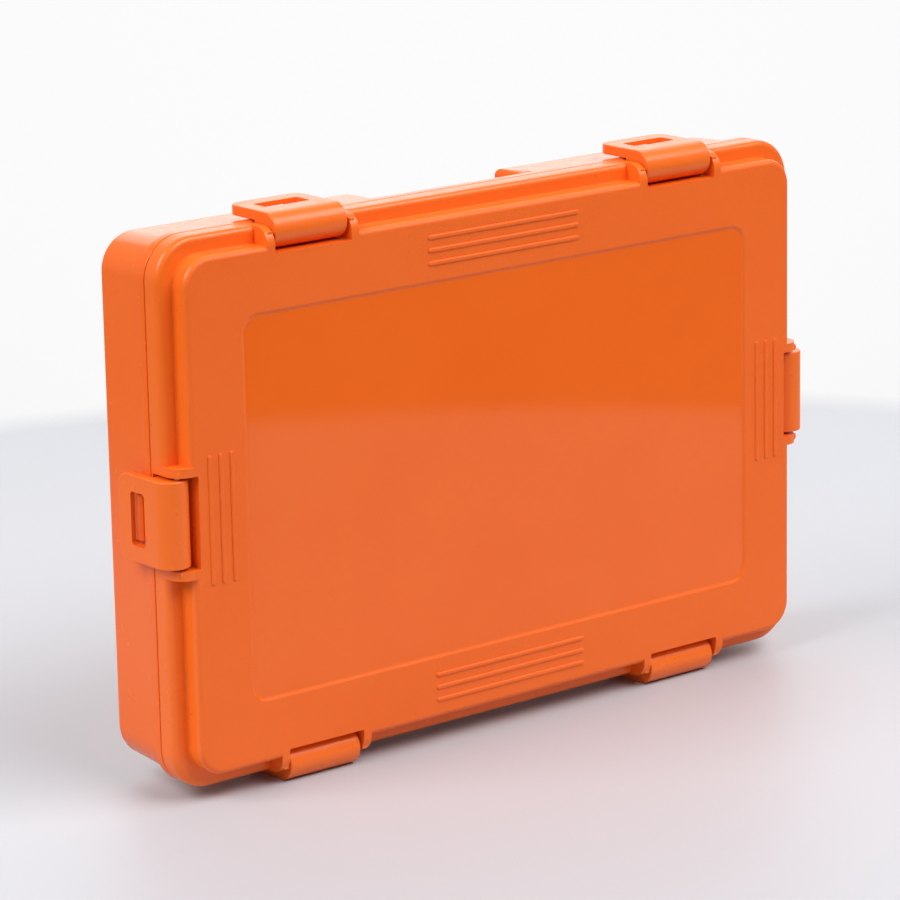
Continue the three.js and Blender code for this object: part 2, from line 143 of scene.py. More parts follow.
def skin(loops, closed=False):
    """(verts, faces) of a surface through loops of equal length, capped at both ends unless closed."""
    count = len(loops[0])
    verts = [point for loop in loops for point in loop]
    faces = []
    rings = len(loops)
    for i in range(rings if closed else rings - 1):
        a, b = i * count, (i + 1) % rings * count
        for j in range(count):
            k = (j + 1) % count
            faces.append((a + j, a + k, b + k, b + j))
    if not closed:
        faces.append(tuple(range(count))[::-1])
        faces.append(tuple(range((rings - 1) * count, rings * count)))
    return verts, faces


def shell(name, profile, closed=False):
    """A body whose profile is a list of (x, z, r, y): rounded rectangles at depths y."""
    loops = [[(px, y, pz) for px, pz in rounded_loop(x, z, r)] for x, z, r, y in profile]
    return clean(new_object(name, *skin(loops, closed)))


def extrusion(name, outline, start, end, place):
    """A prism of a 2-D outline between two heights, each point mapped by place(u, v, height)."""
    loops = [[place(u, v, height) for u, v in outline] for height in (start, end)]
    return clean(new_object(name, *skin(loops)))


def clean(obj):
    edit = bmesh.new()
    edit.from_mesh(obj.data)
    bmesh.ops.remove_doubles(edit, verts=edit.verts, dist=1e-5)
    bmesh.ops.recalc_face_normals(edit, faces=edit.faces)
    edit.to_mesh(obj.data)
    edit.free()
    return obj


def strip(name, verts, count):
    """An open sheet from rows of `count` points."""
    faces = [
        (i * count + j, i * count + j + 1, (i + 1) * count + j + 1, (i + 1) * count + j)
        for i in range(len(verts) // count - 1)
        for j in range(count - 1)
    ]
    return new_object(name, verts, faces)


def block(name, x0, x1, y0, y1, z0, z1, r=0.8):
    return extrusion(name, rect_loop(x0, z0, x1, z1, r), y0, y1, lambda u, v, h: (u, h, v))


def rod(name, radius, start, end, place, steps=40):
    circle = [
        (radius * math.cos(math.tau * i / steps), radius * math.sin(math.tau * i / steps))
        for i in range(steps)
    ]
    return extrusion(name, circle, start, end, place)


def join(objects, name=None):
    """One object from several, keeping each one's own closed surface."""
    edit = bmesh.new()
    for obj in objects:
        edit.from_mesh(obj.data)
    target = objects[0]
    edit.to_mesh(target.data)
    edit.free()
    for obj in objects[1:]:
        bpy.data.objects.remove(obj)
    if name:
        target.name = name
        target.data.name = name
    return target


def apply_modifiers(obj):
    graph = bpy.context.evaluated_depsgraph_get()
    mesh = bpy.data.meshes.new_from_object(obj.evaluated_get(graph))
    obj.modifiers.clear()
    obj.data = mesh
    return obj


def combine(obj, other, operation):
    modifier = obj.modifiers.new("combine", "BOOLEAN")
    modifier.operation = operation
    modifier.solver = "EXACT"
    modifier.object = other
    apply_modifiers(obj)
    bpy.data.objects.remove(other)
    return obj


def cut(obj, other):
    return combine(obj, other, "DIFFERENCE")


def add(obj, other):
    return combine(obj, other, "UNION")


def bevel(obj, width, segments=2, angle=40):
    modifier = obj.modifiers.new("bevel", "BEVEL")
    modifier.width = width
    modifier.segments = segments
    modifier.limit_method = "ANGLE"
    modifier.angle_limit = math.radians(angle)
    modifier.miter_outer = "MITER_ARC"
    return apply_modifiers(obj)


def in_latch(obj, latch):
    """Moves a mesh from the latch frame (w, y, h) into the case frame."""
    x, z, turn, _ = latch
    obj.data.transform(Matrix.Translation((x, 0, z)) @ Matrix.Rotation(turn, 4, "Y"))
    return obj


def finish_piece(obj, body, surfaces, nodes=(), smooth=30, paint=None):
    """Gives a piece its materials, moves it into the row frame and puts it on its body."""
    for surface in surfaces:
        obj.data.materials.append(surface)
    obj.data.polygons.foreach_set("material_index", [0] * len(obj.data.polygons))
    if paint:
        for polygon in obj.data.polygons:
            polygon.material_index = paint(polygon)
    obj.data.transform(Matrix.Translation(CASE_ORIGIN) @ Matrix.Scale(MM, 4))
    obj.data.shade_smooth()
    obj.data.set_sharp_from_angle(angle=math.radians(smooth))
    if nodes:
        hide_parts(*nodes)
    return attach(obj, body)


def weighted_normals(obj):
    modifier = obj.modifiers.new("normals", "WEIGHTED_NORMAL")
    modifier.keep_sharp = True
    return obj


# --- Materials ---------------------------------------------------------------------------------


class Surface:
    """A procedural material under construction: a principled shader and helpers that feed it."""

    def __init__(self, name, roughness, metallic=0.0, **extra):
        self.material = bpy.data.materials.new(name)
        self.material.use_nodes = True
        self.tree = self.material.node_tree
        self.shader = self.tree.nodes["Principled BSDF"]
        self.shader.inputs["Roughness"].default_value = roughness
        self.shader.inputs["Metallic"].default_value = metallic
        for socket, value in extra.items():
            self.shader.inputs[socket.replace("_", " ")].default_value = value
        self.place = self.tree.nodes.new("ShaderNodeTexCoord").outputs["Object"]
        self.bumps = None

    def link(self, source, target):
        self.tree.links.new(source, target)

    def noise(self, scale, detail=3, stretch=(1, 1, 1)):
        """Noise over the piece, with `scale` features to the metre."""
        mapping = self.tree.nodes.new("ShaderNodeMapping")
        mapping.inputs["Scale"].default_value = stretch
        texture = self.tree.nodes.new("ShaderNodeTexNoise")
        texture.inputs["Scale"].default_value = scale
        texture.inputs["Detail"].default_value = detail
        self.link(self.place, mapping.inputs["Vector"])
        self.link(mapping.outputs["Vector"], texture.inputs["Vector"])
        return texture.outputs["Fac"]

    def wave(self, scale, axis, distortion=0.0):
        texture = self.tree.nodes.new("ShaderNodeTexWave")
        texture.bands_direction = axis
        texture.inputs["Scale"].default_value = scale
        texture.inputs["Distortion"].default_value = distortion
        self.link(self.place, texture.inputs["Vector"])
        return texture.outputs["Fac"]

    def times(self, a, b):
        node = self.tree.nodes.new("ShaderNodeMath")
        node.operation = "MULTIPLY"
        self.link(a, node.inputs[0])
        self.link(b, node.inputs[1])
        return node.outputs["Value"]

    def between(self, factor, low, high, start=0.3, end=0.7):
        """A value that goes from low to high as factor goes from start to end."""
        node = self.tree.nodes.new("ShaderNodeMapRange")
        for socket, value in zip(("From Min", "From Max", "To Min", "To Max"), (start, end, low, high)):
            node.inputs[socket].default_value = value
        self.link(factor, node.inputs["Value"])
        return node.outputs["Result"]

    def colours(self, factor, first, second, start=0.3, end=0.7):
        ramp = self.tree.nodes.new("ShaderNodeValToRGB")
        ramp.color_ramp.elements[0].position = start
        ramp.color_ramp.elements[0].color = (*first, 1)
        ramp.color_ramp.elements[1].position = end
        ramp.color_ramp.elements[1].color = (*second, 1)
        self.link(factor, ramp.inputs["Fac"])
        self.link(ramp.outputs["Color"], self.shader.inputs["Base Color"])
        return self

    def roughness(self, factor, low, high):
        self.link(self.between(factor, low, high), self.shader.inputs["Roughness"])
        return self

    def bump(self, height, distance, strength=1.0):
        """Adds a bump of that height in metres to the ones before."""
        node = self.tree.nodes.new("ShaderNodeBump")
        node.inputs["Strength"].default_value = strength
        node.inputs["Distance"].default_value = distance
        self.link(height, node.inputs["Height"])
        if self.bumps:
            self.link(self.bumps, node.inputs["Normal"])
        self.bumps = node.outputs["Normal"]
        self.link(self.bumps, self.shader.inputs["Normal"])
        return self


# The wave texture draws 3.18 bands for each unit of its scale, and a weave repeats every second thread.
THREADS_PER_SCALE = 6.3
ORANGE = (0.89, 0.136, 0.010)
ORANGE_LIGHT = (0.91, 0.146, 0.012)


def moulded(name, low, high, grain, waviness=0.00002, first=ORANGE, second=ORANGE_LIGHT):
    """Moulded plastic or rubber, orange unless told, with a fine grain and a large moulding's waviness."""
    surface = Surface(name, low, IOR=1.42)
    surface.colours(surface.noise(22, 2), first, second)
    surface.roughness(surface.noise(180, 4), low, high)
    surface.bump(surface.noise(14, 1), waviness * 6)
    surface.bump(surface.noise(1700, 3), grain)
    return surface.material


def fabric(name, first, second, threads):
    """Woven cloth with about that many threads to the metre in both directions."""
    surface = Surface(name, 0.9, Sheen_Weight=0.3)
    surface.colours(surface.noise(260, 4), first, second)
    scale = threads / THREADS_PER_SCALE
    weave = surface.times(surface.wave(scale, "X", 1.5), surface.wave(scale, "Z", 1.5))
    surface.bump(weave, 0.00018)
    surface.bump(surface.noise(90, 3), 0.0004)
    return surface.material


def film(name, first, second, low, high, wrinkle=0.0004, metallic=0.0):
    """Plastic film or coated paper with soft wrinkles."""
    surface = Surface(name, low, metallic)
    surface.colours(surface.noise(45, 4), first, second)
    surface.roughness(surface.noise(160, 3), low, high)
    surface.bump(surface.noise(55, 5), wrinkle)
    surface.bump(surface.noise(900, 2), 0.00003)
    return surface.material


def metal(name, first, second, low, high, stretch=(1, 1, 12)):
    surface = Surface(name, low, 1.0)
    surface.colours(surface.noise(320, 3, stretch), first, second)
    surface.roughness(surface.noise(420, 4, stretch), low, high)
    surface.bump(surface.noise(2400, 2, stretch), 0.000012)
    return surface.material


GRAINED = moulded("lid_grained_plastic", 0.4, 0.52, 0.00013)
POLISHED = moulded("panel_polished_plastic", 0.035, 0.06, 0.0000008, 0.000006)
GLOSSY = moulded("body_glossy_plastic", 0.2, 0.28, 0.000008)
SATIN = moulded(
    "latch_satin_plastic", 0.27, 0.35, 0.00001, first=(0.9, 0.15, 0.012), second=(0.92, 0.16, 0.015)
)
STEEL = metal("pin_steel", (0.5, 0.51, 0.52), (0.68, 0.69, 0.7), 0.22, 0.34)
BLADE_STEEL = metal("blade_steel", (0.55, 0.56, 0.58), (0.72, 0.73, 0.74), 0.18, 0.32, (8, 1, 1))

RUBBER = moulded(
    "gasket_rubber", 0.55, 0.7, 0.00002, first=(0.035, 0.036, 0.038), second=(0.05, 0.051, 0.053)
)
TRAY_PLASTIC = moulded(
    "tray_plastic", 0.3, 0.4, 0.00001, first=(0.74, 0.76, 0.77), second=(0.78, 0.79, 0.8)
)
GAUZE = fabric("gauze_cotton", (0.82, 0.8, 0.74), (0.89, 0.87, 0.82), 1400)
CREPE = fabric("crepe_cotton", (0.62, 0.47, 0.32), (0.72, 0.57, 0.41), 900)
COTTON = fabric("calico_cotton", (0.8, 0.78, 0.7), (0.87, 0.85, 0.78), 1800)
POUCH = film("dressing_pouch", (0.83, 0.85, 0.86), (0.89, 0.9, 0.9), 0.45, 0.6)
SACHET = film("sachet_film", (0.8, 0.85, 0.88), (0.87, 0.9, 0.92), 0.22, 0.36, 0.0003)
GLOVES = film("glove_film", (0.13, 0.32, 0.56), (0.2, 0.4, 0.64), 0.25, 0.4)
FOIL = film("blanket_foil", (0.7, 0.46, 0.14), (0.85, 0.62, 0.24), 0.12, 0.28, 0.0012, 1.0)
CARD = film("box_card", (0.7, 0.78, 0.83), (0.77, 0.84, 0.88), 0.6, 0.75, 0.00005)
TAPE = fabric("tape_cotton", (0.84, 0.84, 0.83), (0.9, 0.9, 0.89), 1600)

# --- Lid ---------------------------------------------------------------------------------------


def offset(outline, by):
    """A rounded rectangle grown by `by`."""
    x, z, r = outline
    return x + by, z + by, r + by


def quarter(outline, y, radius, steps):
    """Rings of a rounded front edge: from the front face at depth y to the side, radius deep."""
    rings = []
    for i in range(steps + 1):
        angle = math.pi / 2 * i / steps
        inward = radius * (1 - math.sin(angle))
        rings.append((*offset(outline, -inward), y + radius * (1 - math.cos(angle))))
    return rings


def panel_edge(y, direction):
    """Rings of the soft step between a recessed panel and the face around it, from the panel outwards."""
    rings = []
    for i in range(9):
        t = i / 8
        ease = t * t * (3 - 2 * t)
        rings.append((*offset(PANEL, -0.7 + 1.7 * t), y + direction * PANEL_DEPTH * (1 - ease)))
    return rings


def rib_island(along_x, centre_x, centre_z, half):
    """A low rounded rib standing on the lid plate."""
    levels = [(0.0, 0.85), (-0.18, 0.82), (-0.36, 0.68), (-0.46, 0.46), (-0.5, 0.2)]
    loops = []
    for y, width in [(0.3, 0.85)] + levels:
        length = half - 0.8 + width
        x, z = (length, width) if along_x else (width, length)
        loops.append([(centre_x + px, y, centre_z + pz) for px, pz in rounded_loop(x, z, width - 0.005, 5)])
    return clean(new_object("rib", *skin(loops)))


def lug_object(side):
    """One lug beside a latch notch, in the latch frame."""
    base, back = NOTCH_FLOOR - 0.6, Y_LEDGE + FLANGE_FILLET
    outline = [(0, base), (back, base), (back, 0)]
    for i in range(15):
        angle = math.pi / 2 * (1 + i / 14)
        outline.append((LUG_RADIUS + LUG_RADIUS * math.cos(angle), LUG_RADIUS * (math.sin(angle) - 1)))
    start = side * NOTCH_HALF
    end = side * (NOTCH_HALF + LUG_THICKNESS)
    return extrusion("lug", outline, start, end, lambda u, v, h: (h, u, v))


def latch_bore(open_side):
    blind = NOTCH_HALF + PIN_SEAT
    through = NOTCH_HALF + LUG_THICKNESS + 1
    ends = sorted((-open_side * blind, open_side * through))
    return rod("bore", PIN_HOLE_RADIUS, *ends, lambda u, v, h: (h, PIVOT_Y + u, PIVOT_H + v), 20)


def build_lid():
    cavity = offset(PLATE, -LID_WALL)
    profile = panel_edge(0, 1)
    profile += quarter(PLATE, 0, PLATE_FILLET, 9)
    profile += [(*PLATE, Y_LEDGE - 0.5), (*offset(PLATE, 0.15), Y_LEDGE - 0.15)]
    profile += [(*offset(PLATE, 0.5), Y_LEDGE)]
    profile += quarter(RIM, Y_LEDGE, FLANGE_FILLET, 9)
    profile += [(*RIM, Y_LID_END - 0.35), (*offset(RIM, -0.35), Y_LID_END)]
    profile += [(*cavity, Y_LID_END), (*cavity, LID_WALL)]
    lid = shell("lid_shell_visual", profile)

    pockets = []
    notches = []
    lugs = []
    bores = []
    for latch in LATCHES.values():
        wall = NOTCH_HALF + NOTCH_WALL
        pocket = block("pocket", -wall, wall, 1.2, Y_LID_END - 0.02, NOTCH_FLOOR - NOTCH_WALL, -1.5, 0.6)
        notch = block("notch", -NOTCH_HALF, NOTCH_HALF, -2, NOTCH_BACK, NOTCH_FLOOR, 8, 0.5)
        pockets.append(in_latch(pocket, latch))
        notches.append(in_latch(notch, latch))
        lugs += [in_latch(lug_object(side), latch) for side in (-1, 1)]
        bores.append(in_latch(latch_bore(latch[3]), latch))
    add(lid, join(pockets))
    cut(lid, join(notches))
    add(lid, join(lugs))
    cut(lid, join(bores))
    bevel(lid, 0.3, 2, 50)

    ribs = []
    for side in (-1, 1):
        for step in (-1, 0, 1):
            level = side * LEVEL_RIBS_OUT + step * RIB_PITCH
            upright = side * UPRIGHT_RIBS_OUT + step * RIB_PITCH
            ribs.append(rib_island(True, 0, level, LEVEL_RIB_HALF))
            ribs.append(rib_island(False, upright, 0, UPRIGHT_RIB_HALF))
    lid = join([lid] + ribs)

    def paint(polygon):
        x, y, z = polygon.center
        inside = abs(x) < PANEL[0] - 0.6 and abs(z) < PANEL[1] - 0.6 and y < 1
        on_plate = y < PANEL_DEPTH and abs(x) < PLATE[0] and abs(z) < PLATE[1]
        if inside:
            return 1
        return 0 if on_plate else 2

    return weighted_normals(
        finish_piece(lid, "lid", [GRAINED, POLISHED, SATIN], ["lid_shell"], 32, paint)
    )


# --- Body --------------------------------------------------------------------------------------


def wall_outline(y, inward=0.0):
    """The body wall's outline at a depth: it stands in from the band and draws in towards the back."""
    draft = BODY_DRAFT * (y - Y_BAND_END) / (Y_BACK - Y_BAND_END)
    x, z, r = offset(RIM, -BODY_STEP)
    return x - draft - inward, z - draft - inward, r - inward


def grip_outline(shoulder, top):
    half, r = GRIP_HALF, GRIP_ROUND
    points = []
    arcs = [
        (-half + r, GRIP_FLOOR + r, 180, 270),
        (half - r, GRIP_FLOOR + r, 270, 360),
        (half + r, shoulder - r, 180, 90),
    ]
    for cx, cz, start, end in arcs:
        for i in range(9):
            angle = math.radians(start + (end - start) * i / 8)
            points.append((cx + r * math.cos(angle), cz + r * math.sin(angle)))
    points += [(half + r, top), (-half - r, top)]
    for i in range(9):
        angle = math.radians(90 - 90 * i / 8)
        points.append((-half - r + r * math.cos(angle), shoulder - r + r * math.sin(angle)))
    return points


def catch_object():
    """The rib that the latch's window closes over, in the latch frame."""
    base, top, slope = -BODY_STEP - 2.5, CATCH_TOP, 0.8
    outline = [(CATCH_START, base), (CATCH_END, base), (CATCH_END, top)]
    outline += [(CATCH_START + slope, top), (CATCH_START, top - slope)]
    return extrusion("catch", outline, -CATCH_HALF, CATCH_HALF, lambda u, v, h: (h, u, v))


def build_body():
    profile = [ring[:3] + (Y_BACK - ring[3],) for ring in panel_edge(0, 1)]
    for i in range(9):
        angle = math.pi / 2 * i / 8
        y = Y_BACK - BODY_FILLET * (1 - math.cos(angle))
        profile.append((*wall_outline(y, BODY_FILLET * (1 - math.sin(angle))), y))
    profile += [(*wall_outline(Y_BAND_END + 0.5), Y_BAND_END + 0.5)]
    profile += [(*offset(wall_outline(Y_BAND_END), 0.4), Y_BAND_END)]
    profile += [(*offset(RIM, -0.5), Y_BAND_END), (*offset(RIM, -0.15), Y_BAND_END - 0.15)]
    profile += [(*RIM, Y_BAND_END - 0.5), (*RIM, Y_BODY_START + 0.5)]
    profile += [(*offset(RIM, -0.15), Y_BODY_START + 0.15), (*offset(RIM, -0.5), Y_BODY_START)]
    for inward, y in (
        (GROOVE_OUTER, Y_BODY_START),
        (GROOVE_OUTER, Y_BODY_START + GROOVE_DEPTH),
        (GROOVE_INNER, Y_BODY_START + GROOVE_DEPTH),
        (GROOVE_INNER, Y_BODY_START),
        (MOUTH_INSET, Y_BODY_START),
    ):
        profile.append((*offset(RIM, -inward), y))
    x, z, r = offset(RIM, -MOUTH_INSET)
    profile.append((x - INNER_DRAFT, z - INNER_DRAFT, r, Y_BACK - BODY_FLOOR))
    body = shell("body_shell_visual", profile)

    hump = block(
        "hump", -GRIP_HALF - GRIP_WALL, GRIP_HALF + GRIP_WALL, Y_BAND_END - GRIP_WALL, Y_BACK - 1.2,
        GRIP_FLOOR - GRIP_WALL, RIM[1] - 4.4, 0.8,
    )
    add(body, hump)
    shoulder = RIM[1] - BODY_STEP - BODY_DRAFT / 2
    grip = extrusion("grip", grip_outline(shoulder, 110), Y_BAND_END, 60, lambda u, v, h: (u, h, v))
    cut(body, grip)
    add(body, join([in_latch(catch_object(), latch) for latch in LATCHES.values()]))
    bevel(body, 0.3, 2, 50)

    def paint(polygon):
        x, y, z = polygon.center
        return 1 if y > Y_BACK - 1 and abs(x) < PANEL[0] and abs(z) < PANEL[1] else 0

    return weighted_normals(
        finish_piece(body, "case", [GLOSSY, POLISHED], ["body_shell"], 32, paint)
    )


# --- Latches and pins --------------------------------------------------------------------------


def build_latch(name, latch):
    meet = math.asin((LATCH_INNER - BARREL_H) / BARREL_RADIUS)
    outline = [(LATCH_END, LATCH_OUTER)]
    steps = 44
    for i in range(steps + 1):
        angle = math.pi / 2 + (math.pi * 1.5 + meet) * i / steps
        y = BARREL_Y + BARREL_RADIUS * math.cos(angle)
        outline.append((y, BARREL_H + BARREL_RADIUS * math.sin(angle)))
    outline.append((LATCH_END, LATCH_INNER))
    half = LATCH_HALF_WIDTH
    bar = extrusion("bar", outline, -half, half, lambda u, v, h: (h, u, v))
    plan = []
    corner = LATCH_CORNER
    for cx, start in ((half - corner, 0), (corner - half, 90)):
        for i in range(13):
            angle = math.radians(start + 90 * i / 12)
            x = cx + (corner + 0.02) * math.cos(angle)
            plan.append((x, LATCH_END - corner + corner * math.sin(angle)))
    wide, straight = half + 1, LATCH_END - corner - 0.01
    plan += [(-wide, straight), (-wide, -12), (wide, -12), (wide, straight)]
    combine(bar, extrusion("plan", plan, -20, 10, lambda u, v, h: (u, v, h)), "INTERSECT")
    bevel(bar, 0.95, 4, 50)

    reach, start, end, r = WINDOW
    window_loop = rect_loop(-reach, start, reach, end, r)
    window = extrusion("window", window_loop, -2, 10, lambda u, v, h: (u, v, h))
    scoop_loop = rect_loop(-SCOOP_HALF, end - 0.5, SCOOP_HALF, 31, 0.4, 2)
    scoop = extrusion("scoop", scoop_loop, -2, SCOOP_TOP, lambda u, v, h: (u, v, h))
    bore = rod("bore", PIN_HOLE_RADIUS, -20, 20, lambda u, v, h: (h, PIVOT_Y + u, PIVOT_H + v), 20)
    cut(bar, window)
    cut(bar, scoop)
    cut(bar, bore)
    bevel(bar, 0.28, 2, 50)
    in_latch(bar, latch)
    bar.name = f"latch_{name}_visual"
    return weighted_normals(
        finish_piece(bar, f"latch_{name}", [SATIN], [f"latch_{name}"], 35)
    )


def build_pin(name, latch):
    blind = NOTCH_HALF + PIN_SEAT - 0.3
    through = NOTCH_HALF + LUG_THICKNESS - 0.4
    ends = sorted((-latch[3] * blind, latch[3] * through))
    pin = rod("pin", PIN_RADIUS, *ends, lambda u, v, h: (h, PIVOT_Y + u, PIVOT_H + v), 28)
    bevel(pin, 0.2, 2)
    in_latch(pin, latch)
    pin.name = f"hinge_pin_{name}_visual"
    return finish_piece(pin, "lid", [STEEL], [f"hinge_pin_{name}"])


# --- Gasket and kit ----------------------------------------------------------------------------


def build_gasket():
    """A round rubber cord lying in the groove of the body's band."""
    profile = []
    for i in range(14):
        angle = math.tau * i / 14
        inward = GASKET_INSET + GASKET_RADIUS * math.cos(angle)
        y = Y_BODY_START + GASKET_RADIUS + GASKET_RADIUS * math.sin(angle)
        profile.append((*offset(RIM, -inward), y))
    gasket = shell("lid_gasket_visual", profile, closed=True)
    return finish_piece(gasket, "case", [RUBBER], ["lid_gasket"], 60)


def kit_box(node):
    """Centre and size of a CAD node's box, in the case frame."""
    low, high = ((Vector(corner) - CASE_ORIGIN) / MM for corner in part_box(node))
    return (low + high) / 2, high - low


def build_roll(node, surface, width, length, phase):
    """A bandage wound from its core outwards: one strip of cloth, `length` long."""
    centre, size = kit_box(node)
    outer, core, around = size.y / 2 - 0.4, 2.2, 30
    pitch = math.pi * (outer ** 2 - core ** 2) / length
    steps = int((outer - core) / pitch * around)
    columns = (-1, -0.97, -0.5, 0, 0.5, 0.97, 1)
    verts = []
    for i in range(steps + 1):
        turn = i / around
        angle = math.tau * turn + phase
        radius = (core + pitch * turn) * (1 + 0.012 * math.sin(2 * angle + phase))
        shift = 0.3 * noise.noise(Vector((turn * 1.7, phase, 0)))
        for column in columns:
            x = centre.x + column * (width / 2 - 0.4) + shift
            soft = 0.15 * (abs(column) > 0.98)
            y = centre.y + (radius - soft) * math.sin(angle)
            verts.append((x, y, centre.z + (radius - soft) * math.cos(angle)))
    roll = strip(f"{node}_visual", verts, len(columns))
    finish_piece(roll, "case", [surface], [node], 60)
    return roll


def build_cloth(node, layers):
    """A triangular cloth folded to and fro into a flat stack."""
    centre, size = kit_box(node)
    half_x, half_z, turn = size.x / 2 - 1, size.z / 2 - 1.2, 0.5
    pitch = (size.y - 0.8) / layers
    line = []
    for layer in range(layers):
        y = centre.y - size.y / 2 + 0.4 + pitch * (layer + 0.5)
        way = 1 if layer % 2 else -1
        reach = half_z - 0.7 * (0.5 + 0.5 * noise.noise(Vector((layer * 0.61, 3, 0))))
        line += [(y, -way * (reach - turn)), (y, 0), (y, way * (reach - turn))]
        line.append((y + pitch / 2, way * reach))
    columns = [-1, -0.98, -0.6, -0.2, 0.2, 0.6, 0.98, 1]
    verts = []
    for y, z in line:
        for column in columns:
            x = column * (half_x - 0.5) + 0.4 * noise.noise(Vector((y * 3, column, 1)))
            swell = 0.12 * noise.noise(Vector((column * 1.5, z * 0.03, 5)))
            verts.append((centre.x + x, y + swell, centre.z + z))
    cloth = strip(f"{node}_visual", verts, len(columns))
    finish_piece(cloth, "case", [COTTON], [node], 60)
    return cloth


def packet_lines(half, seam, inner=30):
    """Grid lines across a packet as (position, ridge): close together in the two crimped seams."""
    edge = [(half - seam * k / 8, 0.13 * (k % 2)) for k in range(8)]
    middle = [((half - seam) * (1 - 2 * k / inner), 0) for k in range(inner + 1)]
    return edge + middle + [(-at, ridge) for at, ridge in edge[::-1]]


def build_packet(node, surface, seam, shoulder, seed, crumple=0.12):
    """A sealed packet: two films joined in a crimped seam all round, swelling over what they hold."""
    centre, size = kit_box(node)
    half = size / 2
    across, up = packet_lines(half.x, seam), packet_lines(half.z, seam)

    def crown(at, limit):
        reach = max(0, min(1, (limit - seam - abs(at)) / shoulder))
        return math.sqrt(1 - (1 - reach) ** 2)

    verts = []
    for side in (-1, 1):
        for x, ridge_x in across:
            for z, ridge_z in up:
                swell = crown(x, half.x) * crown(z, half.z)
                fold = noise.fractal(Vector((x * 0.06, z * 0.06, seed + side)), 0.9, 2.1, 4)
                soft = 1 - crumple * (0.6 + fold) - 0.06 * (x / half.x) ** 2 - 0.06 * (z / half.z) ** 2
                thick = 0.1 + max(0, (half.y - 0.25) * swell * min(1, soft))
                y = side * thick + (ridge_x + ridge_z) * (1 - swell)
                verts.append((centre.x + x, centre.y + y, centre.z + z))
    rows, count = len(across), len(up)
    faces = []
    for side in (0, 1):
        start = side * rows * count
        for i in range(rows - 1):
            for j in range(count - 1):
                a = start + i * count + j
                faces.append((a, a + 1, a + count + 1, a + count))
    rim = list(range(count)) + [i * count + count - 1 for i in range(1, rows)]
    rim += [(rows - 1) * count + j for j in range(count - 2, -1, -1)]
    rim += [i * count for i in range(rows - 2, 0, -1)]
    for k, a in enumerate(rim):
        b = rim[(k + 1) % len(rim)]
        faces.append((a, b, b + rows * count, a + rows * count))
    packet = clean(new_object(f"{node}_visual", verts, faces))
    finish_piece(packet, "case", [surface], [node], 50)
    return packet


def shears_ring(centre, side):
    """A finger ring: a round bar along an ellipse beside the centreline."""
    at_x, at_z, half_x, half_z = SHEARS_RING
    loops = []
    for i in range(64):
        angle = math.tau * i / 64
        ring = []
        for j in range(16):
            around = math.tau * j / 16
            out = RING_BAR_WIDTH * math.cos(around)
            ring.append((
                centre.x + side * at_x + (half_x + out) * math.cos(angle),
                centre.y + RING_BAR_DEPTH * math.sin(around),
                centre.z + at_z + (half_z + out) * math.sin(angle),
            ))
        loops.append(ring)
    return clean(new_object("ring", *skin(loops, closed=True)))


def build_shears():
    """Two halves crossed on a screw, one lying in front of the other."""
    centre, _ = kit_box("shears_screw")
    outline = [
        (-7.5, -25), (-14, -24.5), (-8.5, -14), (-6, -4), (-5.5, 3), (-4, 8), (-1.8, 26), (-0.6, 42),
        (1.2, 41), (4.4, 22), (5.5, 5), (5, -3), (1, -9), (-4, -16),
    ]

    def place(u, v, height):
        return centre.x + u, centre.y + height, centre.z + v

    halves = ((-1, "shears_half_left", SHEARS_FIXED), (1, "shears_half_right", SHEARS_MOVING))
    for side, node, body in halves:
        start = -SHEARS_PLATE - SHEARS_PLAY if side < 0 else SHEARS_PLAY
        points = [(-side * x, z) for x, z in outline]
        plate = extrusion("plate", points, start, start + SHEARS_PLATE, place)
        bevel(plate, 0.35, 2, 20)
        cut(plate, rod("hole", SCREW_HOLE, -5, 5, place))
        half = join([plate, shears_ring(centre, side)], f"{node}_visual")
        finish_piece(half, body, [BLADE_STEEL], [node], 35)

    far = SCREW_REACH + 1
    shaft = rod("shaft", SCREW_SHAFT, -2.6, 2.6, place)
    front = rod("head", SCREW_HEAD, -far, -SCREW_REACH, place)
    back = rod("rivet", SCREW_RIVET, SCREW_REACH, far, place)
    slot_cut = extrusion("slot", rect_loop(-2.4, -0.4, 2.4, 0.4, 0.05, 2), -3.5, -2.8, place)
    bevel(front, 0.3, 3)
    bevel(back, 0.3, 3)
    cut(front, slot_cut)
    screw = join([shaft, front, back], "shears_screw_visual")
    finish_piece(screw, SHEARS_FIXED, [STEEL], ["shears_screw"], 35)


def build_tweezers():
    """Two springy arms joined at the top, narrowing to their tips."""
    centre, size = kit_box("tweezers")
    top = centre.z + size.z / 2
    outline = [
        (-2.2, 0), (-3.6, -20), (-4.8, -40), (-5.4, -60), (-4.9, -75), (-3.4, -90), (-2.6, -90),
        (-3.9, -75), (-4.2, -60), (-3.4, -40), (-2.2, -22), (-1, -8),
    ]
    points = outline + [(-x, z) for x, z in outline[::-1]]

    def place(u, v, height):
        narrow = 1 - 0.72 * (v / 90) ** 2
        return centre.x + u, centre.y + height * narrow, top + v

    arms = extrusion("tweezers_visual", points, -3.9, 3.9, place)
    bevel(arms, 0.22, 2, 30)
    return finish_piece(arms, "case", [BLADE_STEEL], ["tweezers"], 35)


def dress_node(node, surface):
    """A better material for a CAD node that stays."""
    for material_slot in bpy.data.objects[node].material_slots:
        material_slot.material = surface


